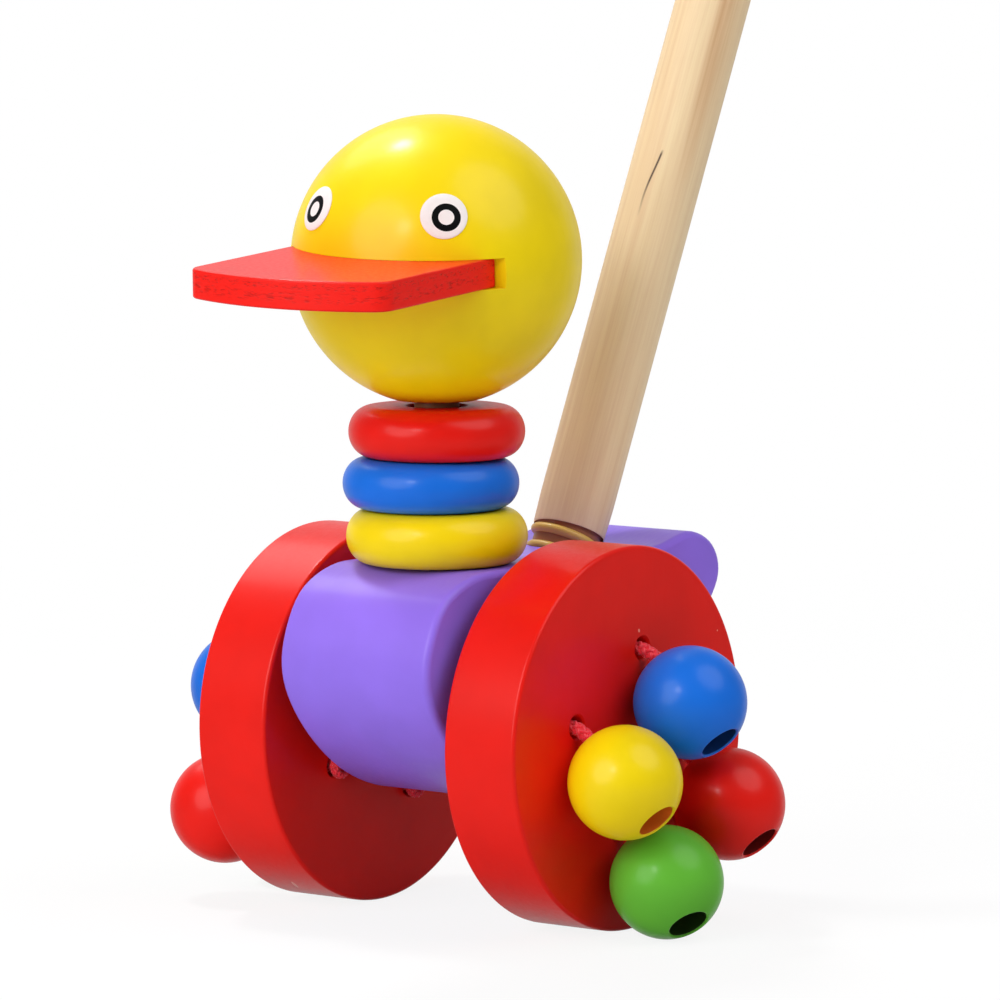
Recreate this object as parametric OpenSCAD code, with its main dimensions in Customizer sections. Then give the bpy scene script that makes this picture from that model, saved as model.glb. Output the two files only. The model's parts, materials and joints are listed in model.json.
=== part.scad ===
// Wooden duck push toy. Two wheels on one axle carry a duck cut from board, with a ball head on a
// dowel neck, three loose rings, a long push handle and eight beads that hang on cords.
// Units are millimetres, +Z is up, the duck looks along -Y and its left side is +X.
// The origin lies on the floor under the middle of the toy's bounding box.

/* [Wheels] */
// Diameter of each wheel
wheel_d = 68; // [54:0.5:90]
// Thickness of each wheel
wheel_t = 15.2; // [10:0.1:24]
// Rounding of the rim edges
wheel_edge = 0.7; // [0.4:0.1:3]
// Free width between the body and the left wheel
left_gap = 3; // [2:0.1:6]
// Free width between the body and the right wheel
right_gap = 4.1; // [2:0.1:6]
// Diameter of each cord hole
hole_d = 4; // [3.6:0.1:5]
// Angle of the first cord hole on the left wheel, from the tail side upward
left_phase = 76.4; // [45:0.1:90]
// Angle of the first cord hole on the right wheel, from the tail side upward
right_phase = 29.5; // [0:0.1:45]

/* [Axle] */
// Diameter of the axle dowel
axle_d = 8; // [6:0.5:12]
// Depth of the blind axle hole in each wheel
axle_bite = 12; // [8:0.5:13]

/* [Body] */
// Width of the board that the duck is cut from
body_w = 32.8; // [26:0.2:44]
// Height of the flat back over the axle
body_top = 29.7; // [27:0.1:34]
// Rounding of the board's long edges
body_edge = 1.2; // [0.5:0.1:3.5]

/* [Body outline, seen from the side, from the axle: toward the tail and up] */
// Where the flat back starts to fall to the chest
crop_y = -17; // [-22:0.1:-14]
// Upper chest
breast_high = [-28.3, 26.3]; // [-60:0.1:60]
// Front of the chest above its widest place
breast_front = [-33.8, 18.2]; // [-60:0.1:60]
// Front of the chest below its widest place
breast_low = [-34.3, 9.9]; // [-60:0.1:60]
// Bow, where the chest turns under
bow_high = [-28.8, 1]; // [-60:0.1:60]
// Lower bow
bow_low = [-19, -7.2]; // [-60:0.1:60]
// Front of the keel
keel_front = [-7.2, -11.9]; // [-60:0.1:60]
// Rear of the keel
keel_rear = [5, -12.2]; // [-60:0.1:60]
// Lower stern
stern_low = [16.5, -8.3]; // [-60:0.1:60]
// Middle of the stern
stern_mid = [28, -0.6]; // [-60:0.1:60]
// Upper stern
stern_high = [38.8, 7.8]; // [-60:0.1:60]
// Underside of the tail
tail_under = [48.3, 15.4]; // [-60:0.1:60]
// Rear of the tail tip
tail_rear = [53.5, 22.6]; // [-60:0.1:60]
// Top of the tail tip
tail_top = [51.6, 28.6]; // [-60:0.1:60]
// Crest of the tail
tail_crest = [44.6, 31.5]; // [-60:0.1:60]
// Rise between back and tail
tail_root = [35.2, 29.9]; // [-60:0.1:60]
// Where the flat back ends
rump_y = 25.5; // [20:0.1:30]

/* [Neck] */
// Place of the neck ahead of the axle
neck_y = -10.4; // [-14:0.1:-9]
// Diameter of the neck dowel
peg_d = 8; // [6:0.5:10]
// Depth of the neck dowel in the body
peg_in_body = 16; // [10:0.5:18]
// Depth of the neck dowel in the head
peg_in_head = 18; // [12:0.5:22]
// Outer diameter of the two upper rings
ring_d = 31.3; // [26:0.1:36]
// Outer diameter of the lowest ring
ring_d_low = 32.2; // [26:0.1:36]
// Height of the lowest ring
ring_h_low = 9.6; // [7:0.1:12]
// Height of the middle ring
ring_h_mid = 9; // [7:0.1:12]
// Height of the top ring
ring_h_top = 9.1; // [7:0.1:12]
// Bore of each loose ring
ring_bore = 10.6; // [10.4:0.1:13]
// Depth of the rounding at a ring's rim
ring_round = 4; // [1:0.1:4.5]
// How far the middle ring has slid off the neck's centre
ring_slip = 1.05; // [0:0.05:1.1]
// Direction of that slip, from the duck's left toward the tail
ring_slip_angle = 216.5; // [0:0.5:360]

/* [Head] */
// Diameter of the ball head
head_d = 51.4; // [42:0.1:60]
// Diameter of the flat under the head
head_flat = 14.5; // [12:0.5:20]
// Turn of the head toward the duck's left
head_turn = 6.2; // [-45:0.1:45]
// Roll of the beak and eyes, down on the duck's left
face_roll = 1.6; // [-5:0.1:5]

/* [Beak] */
// Width of the beak
beak_w = 40; // [30:0.5:42]
// Thickness of the beak
beak_t = 5.2; // [3:0.1:8]
// Reach of the beak's tip from the middle of the head
beak_reach = 53.8; // [44:0.1:64]
// Bow of the beak's front edge
beak_bow = 5.2; // [2:0.1:9]
// Rounding of the beak's front corners
beak_corner = 4; // [1:0.1:8]
// Height of the beak's upper face over the middle of the head
beak_rise = 3.2; // [1:0.1:6]
// Downward pitch of the beak
beak_pitch = 3.4; // [0:0.1:12]
// Distance of the slot's floor from the middle of the head
slot_floor = 13; // [8:0.5:16]

/* [Eyes] */
// Diameter of each eye disc
eye_d = 8.2; // [5:0.1:11]
// Thickness of each eye disc
eye_t = 0.15; // [0.1:0.01:0.4]
// Angle of each eye away from the beak's middle
eye_spread = 32.1; // [20:0.1:50]
// Turn of the pair of eyes past the beak's middle, toward the duck's left
eye_turn = 2; // [-5:0.1:5]
// Angle of each eye over the middle of the head
eye_rise = 21.9; // [14:0.1:40]

/* [Handle] */
// Diameter of the handle dowel
handle_d = 13.6; // [10:0.1:18]
// Length of the handle outside the body
handle_len = 480; // [300:5:600]
// Backward lean of the handle
handle_lean = 25.4; // [10:0.1:40]
// Where the handle's axis leaves the flat back
handle_y = 27.8; // [22:0.1:32]
// Depth of the handle in the body
handle_in = 26; // [16:0.5:28]
// Length of the thread that shows over the back
thread_rise = 2.3; // [1:0.1:8]
// Length of the sanded taper over the thread
foot_len = 6; // [2:0.5:12]
// How much the taper takes off the handle's radius at its foot
foot_taper = 0.15; // [0.05:0.05:0.4]
// Pitch of the thread
thread_pitch = 3.4; // [1.6:0.1:5]
// Depth of the thread
thread_depth = 0.8; // [0.3:0.1:1.2]
// Turns of the thread, most of them inside the body
thread_turns = 2; // [1:1:4]

/* [Beads and cords] */
// Diameter of each bead
bead_d = 20; // [16:0.5:22]
// Wide bore of a bead that hides the knot
bead_bore = 7; // [6.4:0.1:9]
// Narrow bore of a bead, on the wheel's side
bead_eye = 3.6; // [3.4:0.1:4]
// Diameter of each cord
cord_d = 2.6; // [2:0.1:2.8]
// Diameter of a cord's end knot
knot_d = 5.6; // [5:0.1:6]
// How far the floor lifts the lowest bead
floor_lift = 0.45; // [0:0.05:1.5]
// How much lower the beads of the right wheel hang
right_drop = 1.2; // [0:0.1:2]

/* [Clearances] */
// Radial clearance of the axle in the body
run_gap = 0.06; // [0.02:0.01:0.1]
// Radial clearance of glued dowels
glue_gap = 0.03; // [0.02:0.01:0.1]
// Clearance between the loose rings
stack_gap = 0.1; // [0.05:0.01:0.3]
// Play of the rings under the head
ring_play = 1; // [0.2:0.05:1]
// Clearance between neighbouring beads on one wheel
bead_apart = 2.7; // [2.2:0.1:6]
// Clearance between bead and wheel face
rest_gap = 0.3; // [0.2:0.01:0.4]
// Clearance of the lowest bead over the floor
floor_gap = 0.05; // [0:0.01:1]
// Clearance of a knot from the face that it bears on
knot_gap = 0.2; // [0.1:0.01:0.3]

/* [Resolution] */
// Facets of round pieces on screen
facets = 96; // [32:16:192]
// Outline steps between two stations of the body
outline_steps = 6; // [3:1:12]
// Steps across a rounded edge
edge_steps = 5; // [3:1:10]

/* [Part] */
// Piece to draw

/* [Hidden] */
$fn = facets;

LEFT = 1;
RIGHT = -1;
YELLOW = [0.95, 0.83, 0.05];
BLUE = [0.11, 0.42, 0.84];
RED = [0.86, 0.10, 0.09];
GREEN = [0.35, 0.69, 0.21];
PURPLE = [0.50, 0.36, 0.84];
BARE_WOOD = [0.91, 0.79, 0.63];
CORD_RED = [0.80, 0.07, 0.12];
EYE_WHITE = [0.96, 0.94, 0.92];

wheel_r = wheel_d / 2;
holes = 4;
hole_step = 360 / holes;
hole_r = (bead_d + bead_apart) / (2 * sin(hole_step / 2));

bead_r = bead_d / 2;
bead_out = bead_r + rest_gap;
lowest_hole = hole_r * max(
    [for (side = [LEFT, RIGHT], k = [0 : holes - 1]) -sin(phase(side) + hole_step * k)]
);
floor_drop = wheel_r - floor_gap - bead_r;
left_drop = floor_drop - lowest_hole + floor_lift;
cord_r = cord_d / 2;
knot_r = knot_d / 2;
knot_t = min(left_gap, right_gap) - 2 * knot_gap - rest_gap;
knot_rest = sqrt(knot_r * knot_r - bead_eye * bead_eye / 4) + knot_gap;

low_ring_z = body_top + stack_gap;
mid_ring_z = low_ring_z + ring_h_low + stack_gap;
top_ring_z = mid_ring_z + ring_h_mid + stack_gap;
stack_top = top_ring_z + ring_h_top;
slip = ring_slip * [cos(ring_slip_angle), sin(ring_slip_angle)];

head_r = head_d / 2;
head_under = sqrt(head_r * head_r - head_flat * head_flat / 4);
head_z = stack_top + ring_play + head_under;
peg_r = peg_d / 2;
peg_low = body_top - peg_in_body;
peg_high = head_z - head_under + peg_in_head;

beak_half = beak_w / 2;
beak_arc = (beak_half * beak_half + beak_bow * beak_bow) / (2 * beak_bow);
beak_arc_y = beak_arc - beak_reach;
corner_x = beak_half - beak_corner;
corner_y = beak_arc_y - sqrt(pow(beak_arc - beak_corner, 2) - corner_x * corner_x);
corner_turn = atan2(corner_x, beak_arc_y - corner_y);
slot_t = beak_t + 2 * glue_gap;

handle_r = handle_d / 2;
handle_shaft = handle_len - handle_r;

front_y = neck_y - beak_reach * cos(beak_pitch);
back_y = handle_y + handle_shaft * sin(handle_lean) + handle_r;
axle_y = -(front_y + back_y) / 2;
axle_z = wheel_r;

through = 2 * max(wheel_out(LEFT), wheel_out(RIGHT));
right_angle = 90;

function wheel_in(side) = body_w / 2 + (side == LEFT ? left_gap : right_gap);

function wheel_out(side) = wheel_in(side) + wheel_t;

function phase(side) = side == LEFT ? left_phase : right_phase;

function hole_at(side, k) = [
    0,
    hole_r * cos(phase(side) + hole_step * k),
    hole_r * sin(phase(side) + hole_step * k)
];

// A bead hangs free, and the floor lifts the one that would reach below it

function bead_drop(side) = left_drop + (side == LEFT ? 0 : right_drop);

function bead_swing(side) = norm([bead_out, bead_drop(side)]);

function bead_lean(side, k) =
    acos(min(bead_drop(side), floor_drop + hole_at(side, k).z) / bead_swing(side));

function shoulder(side) = bead_swing(side) - bead_r / 8;

function arc(centre, r, from, to, steps) = [
    for (k = [0 : steps])
        let (a = from + (to - from) * k / steps)
        [centre.x + r * cos(a), centre.y + r * sin(a)]
];

// Body outline: a smooth curve through the stations, closed by the flat back

stations = [
    [crop_y, body_top], breast_high, breast_front, breast_low, bow_high, bow_low,
    keel_front, keel_rear, stern_low, stern_mid, stern_high, tail_under,
    tail_rear, tail_top, tail_crest, tail_root, [rump_y, body_top]
];
last = len(stations) - 1;

function mirrored(tip, next) = [2 * tip.x - next.x, next.y];

function station(k) =
    k < 0 ? mirrored(stations[0], stations[1]) :
    k > last ? mirrored(stations[last], stations[last - 1]) :
    stations[k];

function smooth(a, b, c, d, t) =
    (2 * b + (c - a) * t + (2 * a - 5 * b + 4 * c - d) * t * t
    + (3 * b - a - 3 * c + d) * t * t * t) / 2;

outline = [
    for (k = [0 : last - 1], s = [0 : outline_steps - 1])
        smooth(station(k - 1), station(k), station(k + 1), station(k + 2), s / outline_steps),
    stations[last]
];
points = len(outline);

function outward(k) =
    let (d = outline[(k + 1) % points] - outline[(k + points - 1) % points])
    [d.y, -d.x] / norm(d);

function inset_outline(inset) = [for (k = [0 : points - 1]) outline[k] - inset * outward(k)];

half_slices = [
    for (s = [0 : edge_steps])
        let (a = right_angle * s / edge_steps)
        [body_w / 2 - body_edge * (1 - sin(a)), body_edge * (1 - cos(a))]
];
slices = concat(
    [for (s = [edge_steps : -1 : 0]) [-half_slices[s].x, half_slices[s].y]],
    half_slices
);

module board() {
    n = points;
    top = len(slices) - 1;
    polyhedron(
        points = [for (s = slices, p = inset_outline(s.y)) [s.x, p.x, p.y]],
        faces = concat(
            [[for (k = [0 : n - 1]) k]],
            [[for (k = [n - 1 : -1 : 0]) top * n + k]],
            [for (s = [0 : top - 1], k = [0 : n - 1])
                [s * n + k, (s + 1) * n + k, (s + 1) * n + (k + 1) % n]],
            [for (s = [0 : top - 1], k = [0 : n - 1])
                [s * n + k, (s + 1) * n + (k + 1) % n, s * n + (k + 1) % n]]
        )
    );
}

module placed() {
    translate([0, axle_y, axle_z]) children();
}

module along_handle() {
    translate([0, handle_y, body_top]) rotate([-handle_lean, 0, 0]) children();
}

module at_mouth(side, k) {
    translate(hole_at(side, k) + [side * wheel_out(side), 0, 0])
        rotate([0, side * (2 * right_angle - bead_lean(side, k)), 0]) children();
}

module across(d) {
    rotate([0, right_angle, 0]) cylinder(d = d, h = through, center = true);
}

// Duck

module body() {
    color(PURPLE) placed() difference() {
        board();
        across(axle_d + 2 * run_gap);
        translate([0, neck_y, peg_low - glue_gap])
            cylinder(r = peg_r + glue_gap, h = peg_in_body + peg_d);
        along_handle() translate([0, 0, -handle_in - glue_gap])
            cylinder(r = handle_r + glue_gap, h = handle_in + handle_d);
    }
}

module axle() {
    low = wheel_in(RIGHT) + axle_bite;
    color(BARE_WOOD) placed() translate([-low, 0, 0]) rotate([0, right_angle, 0])
        cylinder(d = axle_d, h = low + wheel_in(LEFT) + axle_bite);
}

module wheel(side) {
    r = wheel_r - wheel_edge;
    h = wheel_t - wheel_edge;
    color(RED) placed() difference() {
        translate([side * wheel_in(side), 0, 0]) rotate([0, side * right_angle, 0]) rotate_extrude()
            polygon(concat(
                [[0, 0]],
                arc([r, wheel_edge], wheel_edge, -right_angle, 0, edge_steps),
                arc([r, h], wheel_edge, 0, right_angle, edge_steps),
                [[0, wheel_t]]
            ));
        rotate([0, side * right_angle, 0])
            cylinder(r = axle_d / 2 + glue_gap, h = wheel_in(side) + axle_bite + glue_gap);
        for (k = [0 : holes - 1]) translate(hole_at(side, k)) across(hole_d);
    }
}

module wheel_left() {
    wheel(LEFT);
}

module wheel_right() {
    wheel(RIGHT);
}

module neck_peg() {
    color(BARE_WOOD) placed() translate([0, neck_y, peg_low])
        cylinder(r = peg_r, h = peg_high - peg_low);
}

module ring(d, low, height, offset_xy) {
    half = height / 2;
    rim = d / 2 - ring_round;
    place = [offset_xy.x, neck_y + offset_xy.y, low + half];
    placed() translate(place) rotate_extrude() polygon(concat(
        [[ring_bore / 2, half], [ring_bore / 2, -half]],
        [for (k = [-3 * edge_steps : 3 * edge_steps])
            let (a = right_angle * k / (3 * edge_steps))
            [rim + ring_round * cos(a), half * sin(a)]]
    ));
}

module ring_yellow() {
    color(YELLOW) ring(ring_d_low, low_ring_z, ring_h_low, [0, 0]);
}

module ring_blue() {
    color(BLUE) ring(ring_d, mid_ring_z, ring_h_mid, slip);
}

module ring_red() {
    color(RED) ring(ring_d, top_ring_z, ring_h_top, [0, 0]);
}

module on_head() {
    placed() translate([0, neck_y, head_z]) rotate([0, 0, head_turn]) children();
}

module on_face() {
    on_head() rotate([0, face_roll, 0]) children();
}

module on_beak() {
    on_face() rotate([beak_pitch, 0, 0]) translate([0, 0, beak_rise]) children();
}

module head() {
    color(YELLOW) difference() {
        on_head() sphere(r = head_r);
        on_beak() translate([-head_r, -slot_floor - head_d, -beak_t - glue_gap])
            cube([head_d, head_d, slot_t]);
        on_head() translate([0, 0, -head_under - head_r]) {
            cylinder(r = head_r, h = head_r);
            cylinder(r = peg_r + glue_gap, h = head_r + peg_in_head + glue_gap);
        }
    }
}

module beak() {
    color(RED) on_beak() translate([0, 0, -beak_t]) linear_extrude(height = beak_t) polygon(concat(
        [[-beak_half, -slot_floor - glue_gap]],
        arc([-corner_x, corner_y], beak_corner, -2 * right_angle, -right_angle - corner_turn, edge_steps),
        arc([0, beak_arc_y], beak_arc, -right_angle - corner_turn, corner_turn - right_angle, facets / 4),
        arc([corner_x, corner_y], beak_corner, corner_turn - right_angle, 0, edge_steps),
        [[beak_half, -slot_floor - glue_gap]]
    ));
}

module eye(side) {
    color(EYE_WHITE) on_face() rotate([0, 0, eye_turn + side * eye_spread])
        rotate([right_angle - eye_rise, 0, 0]) intersection() {
            difference() {
                sphere(r = head_r + glue_gap + eye_t);
                sphere(r = head_r + glue_gap);
            }
            cylinder(d = eye_d, h = head_d);
        }
}

module eye_left() {
    eye(LEFT);
}

module eye_right() {
    eye(RIGHT);
}

module handle() {
    core = handle_r - thread_depth;
    first = thread_rise - thread_turns * thread_pitch;
    color(BARE_WOOD) placed() along_handle() rotate_extrude() polygon(concat(
        [[0, -handle_in], [core, -handle_in], [handle_r, thread_depth - handle_in]],
        [for (k = [0 : thread_turns - 1], s = [0, 1])
            [s == 0 ? handle_r : core, first + (k + s / 2) * thread_pitch]],
        [[handle_r - foot_taper, thread_rise], [handle_r, thread_rise + foot_len]],
        arc([0, handle_shaft], handle_r, 0, right_angle, 2 * edge_steps)
    ));
}

// Beads on cords

module bead(side, k) {
    placed() at_mouth(side, k) difference() {
        translate([0, 0, bead_swing(side)]) sphere(r = bead_r);
        cylinder(d = bead_eye, h = bead_swing(side) + bead_d);
        translate([0, 0, shoulder(side)]) cylinder(d = bead_bore, h = bead_d);
    }
}

module cord(side, k) {
    start = -knot_gap - knot_t;
    end = wheel_t - cord_r - rest_gap;
    bevel = knot_t / 3;
    color(CORD_RED) placed() translate(hole_at(side, k) + [side * wheel_in(side), 0, 0])
        rotate([0, side * right_angle, 0]) rotate_extrude() polygon([
            [0, start], [knot_r - bevel, start], [knot_r, start + bevel],
            [knot_r, -knot_gap - bevel], [knot_r - bevel, -knot_gap], [cord_r, -knot_gap],
            [cord_r, end], [0, end]
        ]);
}

module tail(side, k) {
    neck = asin(cord_r / knot_r);
    color(CORD_RED) placed() at_mouth(side, k) rotate_extrude() polygon(concat(
        arc([0, 0], cord_r, -right_angle, 0, edge_steps),
        arc([0, shoulder(side) + knot_rest], knot_r, neck - right_angle, right_angle, 2 * edge_steps)
    ));
}

module bead_left_blue() {
    color(BLUE) bead(LEFT, 0);
}

module bead_left_yellow() {
    color(YELLOW) bead(LEFT, 1);
}

module bead_left_green() {
    color(GREEN) bead(LEFT, 2);
}

module bead_left_red() {
    color(RED) bead(LEFT, 3);
}

module bead_right_yellow() {
    color(YELLOW) bead(RIGHT, 0);
}

module bead_right_blue() {
    color(BLUE) bead(RIGHT, 1);
}

module bead_right_red() {
    color(RED) bead(RIGHT, 2);
}

module bead_right_green() {
    color(GREEN) bead(RIGHT, 3);
}

module cord_left_blue() {
    cord(LEFT, 0);
}

module cord_left_yellow() {
    cord(LEFT, 1);
}

module cord_left_green() {
    cord(LEFT, 2);
}

module cord_left_red() {
    cord(LEFT, 3);
}

module cord_right_yellow() {
    cord(RIGHT, 0);
}

module cord_right_blue() {
    cord(RIGHT, 1);
}

module cord_right_red() {
    cord(RIGHT, 2);
}

module cord_right_green() {
    cord(RIGHT, 3);
}

module tail_left_blue() {
    tail(LEFT, 0);
}

module tail_left_yellow() {
    tail(LEFT, 1);
}

module tail_left_green() {
    tail(LEFT, 2);
}

module tail_left_red() {
    tail(LEFT, 3);
}

module tail_right_yellow() {
    tail(RIGHT, 0);
}

module tail_right_blue() {
    tail(RIGHT, 1);
}

module tail_right_red() {
    tail(RIGHT, 2);
}

module tail_right_green() {
    tail(RIGHT, 3);
}

body();
axle();
wheel_left();
wheel_right();
neck_peg();
ring_yellow();
ring_blue();
ring_red();
head();
beak();
eye_left();
eye_right();
handle();
bead_left_blue();
bead_left_yellow();
bead_left_green();
bead_left_red();
bead_right_yellow();
bead_right_blue();
bead_right_red();
bead_right_green();
cord_left_blue();
cord_left_yellow();
cord_left_green();
cord_left_red();
cord_right_yellow();
cord_right_blue();
cord_right_red();
cord_right_green();
tail_left_blue();
tail_left_yellow();
tail_left_green();
tail_left_red();
tail_right_yellow();
tail_right_blue();
tail_right_red();
tail_right_green();
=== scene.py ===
import json
import math

import bmesh
import bpy
from bpy.props import FloatProperty, FloatVectorProperty, IntProperty, PointerProperty
from mathutils import Matrix, Quaternion, Vector


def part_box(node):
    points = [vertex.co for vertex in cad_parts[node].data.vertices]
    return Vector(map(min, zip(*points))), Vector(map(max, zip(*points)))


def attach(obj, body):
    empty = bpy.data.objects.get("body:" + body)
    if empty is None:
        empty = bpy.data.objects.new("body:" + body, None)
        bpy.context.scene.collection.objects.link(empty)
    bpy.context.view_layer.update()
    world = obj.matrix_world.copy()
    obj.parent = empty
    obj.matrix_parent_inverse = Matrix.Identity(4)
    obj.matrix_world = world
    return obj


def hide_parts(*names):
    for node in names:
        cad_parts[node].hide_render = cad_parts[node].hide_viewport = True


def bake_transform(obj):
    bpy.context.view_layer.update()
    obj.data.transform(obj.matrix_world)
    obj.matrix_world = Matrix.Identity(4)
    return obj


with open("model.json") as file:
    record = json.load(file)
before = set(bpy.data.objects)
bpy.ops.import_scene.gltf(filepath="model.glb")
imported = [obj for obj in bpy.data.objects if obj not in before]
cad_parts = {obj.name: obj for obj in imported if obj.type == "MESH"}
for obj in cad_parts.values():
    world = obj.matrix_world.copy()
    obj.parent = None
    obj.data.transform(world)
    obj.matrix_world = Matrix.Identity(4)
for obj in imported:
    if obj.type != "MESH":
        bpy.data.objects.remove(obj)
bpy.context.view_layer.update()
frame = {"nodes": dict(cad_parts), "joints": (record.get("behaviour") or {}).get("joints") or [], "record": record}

bl_info = {
    "name": "Wooden Duck Push Toy",
    "version": (1, 0, 0),
    "blender": (4, 5, 0),
    "location": "3D View > Sidebar > Duck Toy",
    "description": "Builds the finished look of a wooden duck push toy over its packed construction frame",
    "category": "Object",
}

MM = 0.001
BENCH = "bench"
SEGMENTS = 144
SHARP_EDGE = math.radians(38)
TINY = 1e-7
FLAT = 0.9999
WELD = 0.002 * MM
SIDE_SLACK = 0.1 * MM
SEAT_GAP = 0.03 * MM
DOWEL_BEVEL = 0.5 * MM
SIDES = {"left": 1, "right": -1}
BEAD_COLOURS = ("red", "yellow", "blue", "green")
JOINTS = {joint["name"]: joint for joint in frame["joints"]}
HANDLE_END = next(m for m in frame["record"]["mounts"] if m["name"] == "handle_end")


def linear(code):
    """The linear colour of an sRGB hex code, with full alpha."""
    parts = [int(code[k : k + 2], 16) / 255 for k in (1, 3, 5)]
    return [p / 12.92 if p <= 0.04045 else ((p + 0.055) / 1.055) ** 2.4 for p in parts] + [1.0]


def length(name, description, millimetres):
    """A length that the user may change, in millimetres here and metres in the scene."""
    return FloatProperty(
        name=name, description=description, default=millimetres * MM, min=0.0, unit="LENGTH", precision=5
    )


def angle(name, description, degrees):
    """An angle that the user may change, in degrees here."""
    return FloatProperty(name=name, description=description, default=math.radians(degrees), subtype="ANGLE")


def colour(name, description, code):
    """A colour that the user may change, from its sRGB hex code."""
    return FloatVectorProperty(
        name=name, description=description, default=linear(code), size=4, min=0.0, max=1.0, subtype="COLOR"
    )


class DuckToySizes(bpy.types.PropertyGroup):
    """Sizes of the finished pieces that the frame does not state"""

    wheel_edge: length("Wheel edge", "Rounding of the wheels' rims", 0.7)
    wheel_bore: length("Wheel bore", "Diameter of the blind hole for the axle", 8.06)
    wheel_bite: length("Axle bite", "Depth of the axle in each wheel", 12.03)
    hole: length("Cord hole", "Diameter of the cord holes in the wheels", 4.0)
    hole_edge: length("Cord hole edge", "Rounding at the mouths of the cord holes", 0.35)
    ring_bore: length("Ring bore", "Diameter of the hole in the neck rings", 10.6)
    ring_round: length("Ring rounding", "Depth of the neck rings' rounded rims", 4.0)
    peg: length("Neck peg", "Diameter of the peg that carries the rings and the head", 8.0)
    head_flat: length("Head flat", "Diameter of the flat under the head", 14.5)
    head_bore: length("Head bore", "Depth of the peg's hole in the head", 18.03)
    head_turn: angle("Head turn", "Turn of the head to its left", 6.2)
    face_roll: angle("Face roll", "Roll of the beak and eyes, down on the left", 1.6)
    beak_width: length("Beak width", "Width of the beak's plate", 40.0)
    beak_thick: length("Beak thickness", "Thickness of the beak's plate", 5.2)
    beak_reach: length("Beak reach", "From the head's middle to the tip of the beak", 53.8)
    beak_bow: length("Beak bow", "Bow of the beak's front edge", 5.2)
    beak_corner: length("Beak corner", "Rounding of the beak's corners", 4.0)
    beak_rise: length("Beak rise", "Height of the beak's top over the head's middle", 3.2)
    beak_pitch: angle("Beak pitch", "Upward tilt of the beak at its root", 3.4)
    beak_edge: length("Beak edge", "Rounding of the plate's edges", 0.45)
    slot_floor: length("Slot floor", "From the head's middle to the bottom of the beak's slot", 13.0)
    eye: length("Eye", "Diameter of an eye's disc", 8.2)
    eye_thick: length("Eye thickness", "Thickness of an eye's disc", 0.15)
    eye_ring: length("Pupil", "Diameter of the black ring", 5.05)
    eye_spot: length("Pupil spot", "Diameter of the white spot in the ring", 2.75)
    eye_aside: length("Pupil aside", "Outward offset of the pupil on its disc", 0.4)
    eye_down: length("Pupil drop", "Downward offset of the pupil on its disc", 0.28)
    eye_spread: angle("Eye spread", "Turn of each eye from the head's middle line", 32.1)
    eye_turn: angle("Eye turn", "Turn of both eyes to the left", 2.0)
    eye_rise: angle("Eye rise", "Height of the eyes over the head's middle", 21.9)
    handle_length: length("Handle length", "Length of the handle over the body", 480.0)
    handle_in: length("Handle depth", "Depth of the handle in the body", 26.0)
    thread_rise: length("Thread rise", "Length of thread that shows over the body", 2.3)
    foot: length("Foot", "Length of the handle's sanded taper over the thread", 6.0)
    foot_taper: length("Foot taper", "What the taper takes off the handle's radius", 0.15)
    thread_pitch: length("Thread pitch", "Rise of the thread in one turn", 3.4)
    thread_depth: length("Thread depth", "Depth of the thread under the handle's surface", 0.8)
    bead: length("Bead", "Diameter of a bead", 20.0)
    bead_bore: length("Bead bore", "Diameter of the wide bore that hides the knot", 7.0)
    bead_eye: length("Bead eye", "Diameter of the narrow bore for the cord", 3.6)
    bead_edge: length("Bead edge", "Rounding at the mouths of the bores", 0.4)
    cord: length("Cord", "Diameter of the braided cord", 2.6)
    cord_lay: length("Braid lay", "Length of cord in which a strand goes round once", 6.4)
    cord_bend: length("Cord bend", "Tightest radius of the cord's middle line", 5.2)
    strands: IntProperty(
        name="Strands", description="Strands that run each way round the cord", default=4, min=2, max=12
    )


class DuckToyColours(bpy.types.PropertyGroup):
    """Colours of the finished pieces"""

    red: colour("Red", "Lacquer of the wheels, the beak, the top ring and two beads", "#EE170B")
    yellow: colour("Yellow", "Lacquer of the head, the lowest ring and two beads", "#F8DA04")
    blue: colour("Blue", "Lacquer of the middle ring and two beads", "#1470E2")
    green: colour("Green", "Lacquer of two beads", "#66BE38")
    purple: colour("Purple", "Lacquer of the body", "#9472EE")
    wood: colour("Wood", "Pale growth of the bare wood", "#F4DCB2")
    wood_dark: colour("Wood, dark", "Dark growth of the bare wood", "#E2BF94")
    wood_heart: colour("Wood, heart", "Brown streak of heartwood in the handle", "#BC8450")
    wood_crack: colour("Wood, crack", "Short check in the handle", "#4A2E1A")
    thread: colour("Thread", "Waxed crest of the handle's thread", "#E2B860")
    # Groove: a darker brown-red that is painted shade in the thread's groove and on the neck peg, and in the
    # groove also a painted reflection of the red wheel.
    groove: colour("Groove", "Waxed groove of the handle's thread", "#A86E4A")
    chip: colour("Chip", "Pale wood in the chips of the wheels' lacquer", "#FFA08E")
    cord: colour("Cord", "Braided cord", "#FF2A40")
    eye_white: colour("Eye white", "Disc of the eyes", "#F4EEEC")
    eye_black: colour("Eye black", "Printed ring of the eyes", "#08080A")
    # The four bore colours below are painted shade: darker copies of each bead's lacquer for the inside of its
    # bores. The yellow one is orange, which is also a painted reflection of the red cord.
    red_bore: colour("Red, bore", "Thin stain in the bores of the red beads", "#7A1614")
    yellow_bore: colour("Yellow, bore", "Thin stain in the bores of the yellow beads", "#EC7A22")
    blue_bore: colour("Blue, bore", "Thin stain in the bores of the blue beads", "#123A7C")
    green_bore: colour("Green, bore", "Thin stain in the bores of the green beads", "#263E14")


def sizes():
    """The sizes that the scene holds."""
    return bpy.context.scene.duck_toy_sizes


def colours():
    """The colours that the scene holds."""
    return bpy.context.scene.duck_toy_colours


# Meshes


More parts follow.
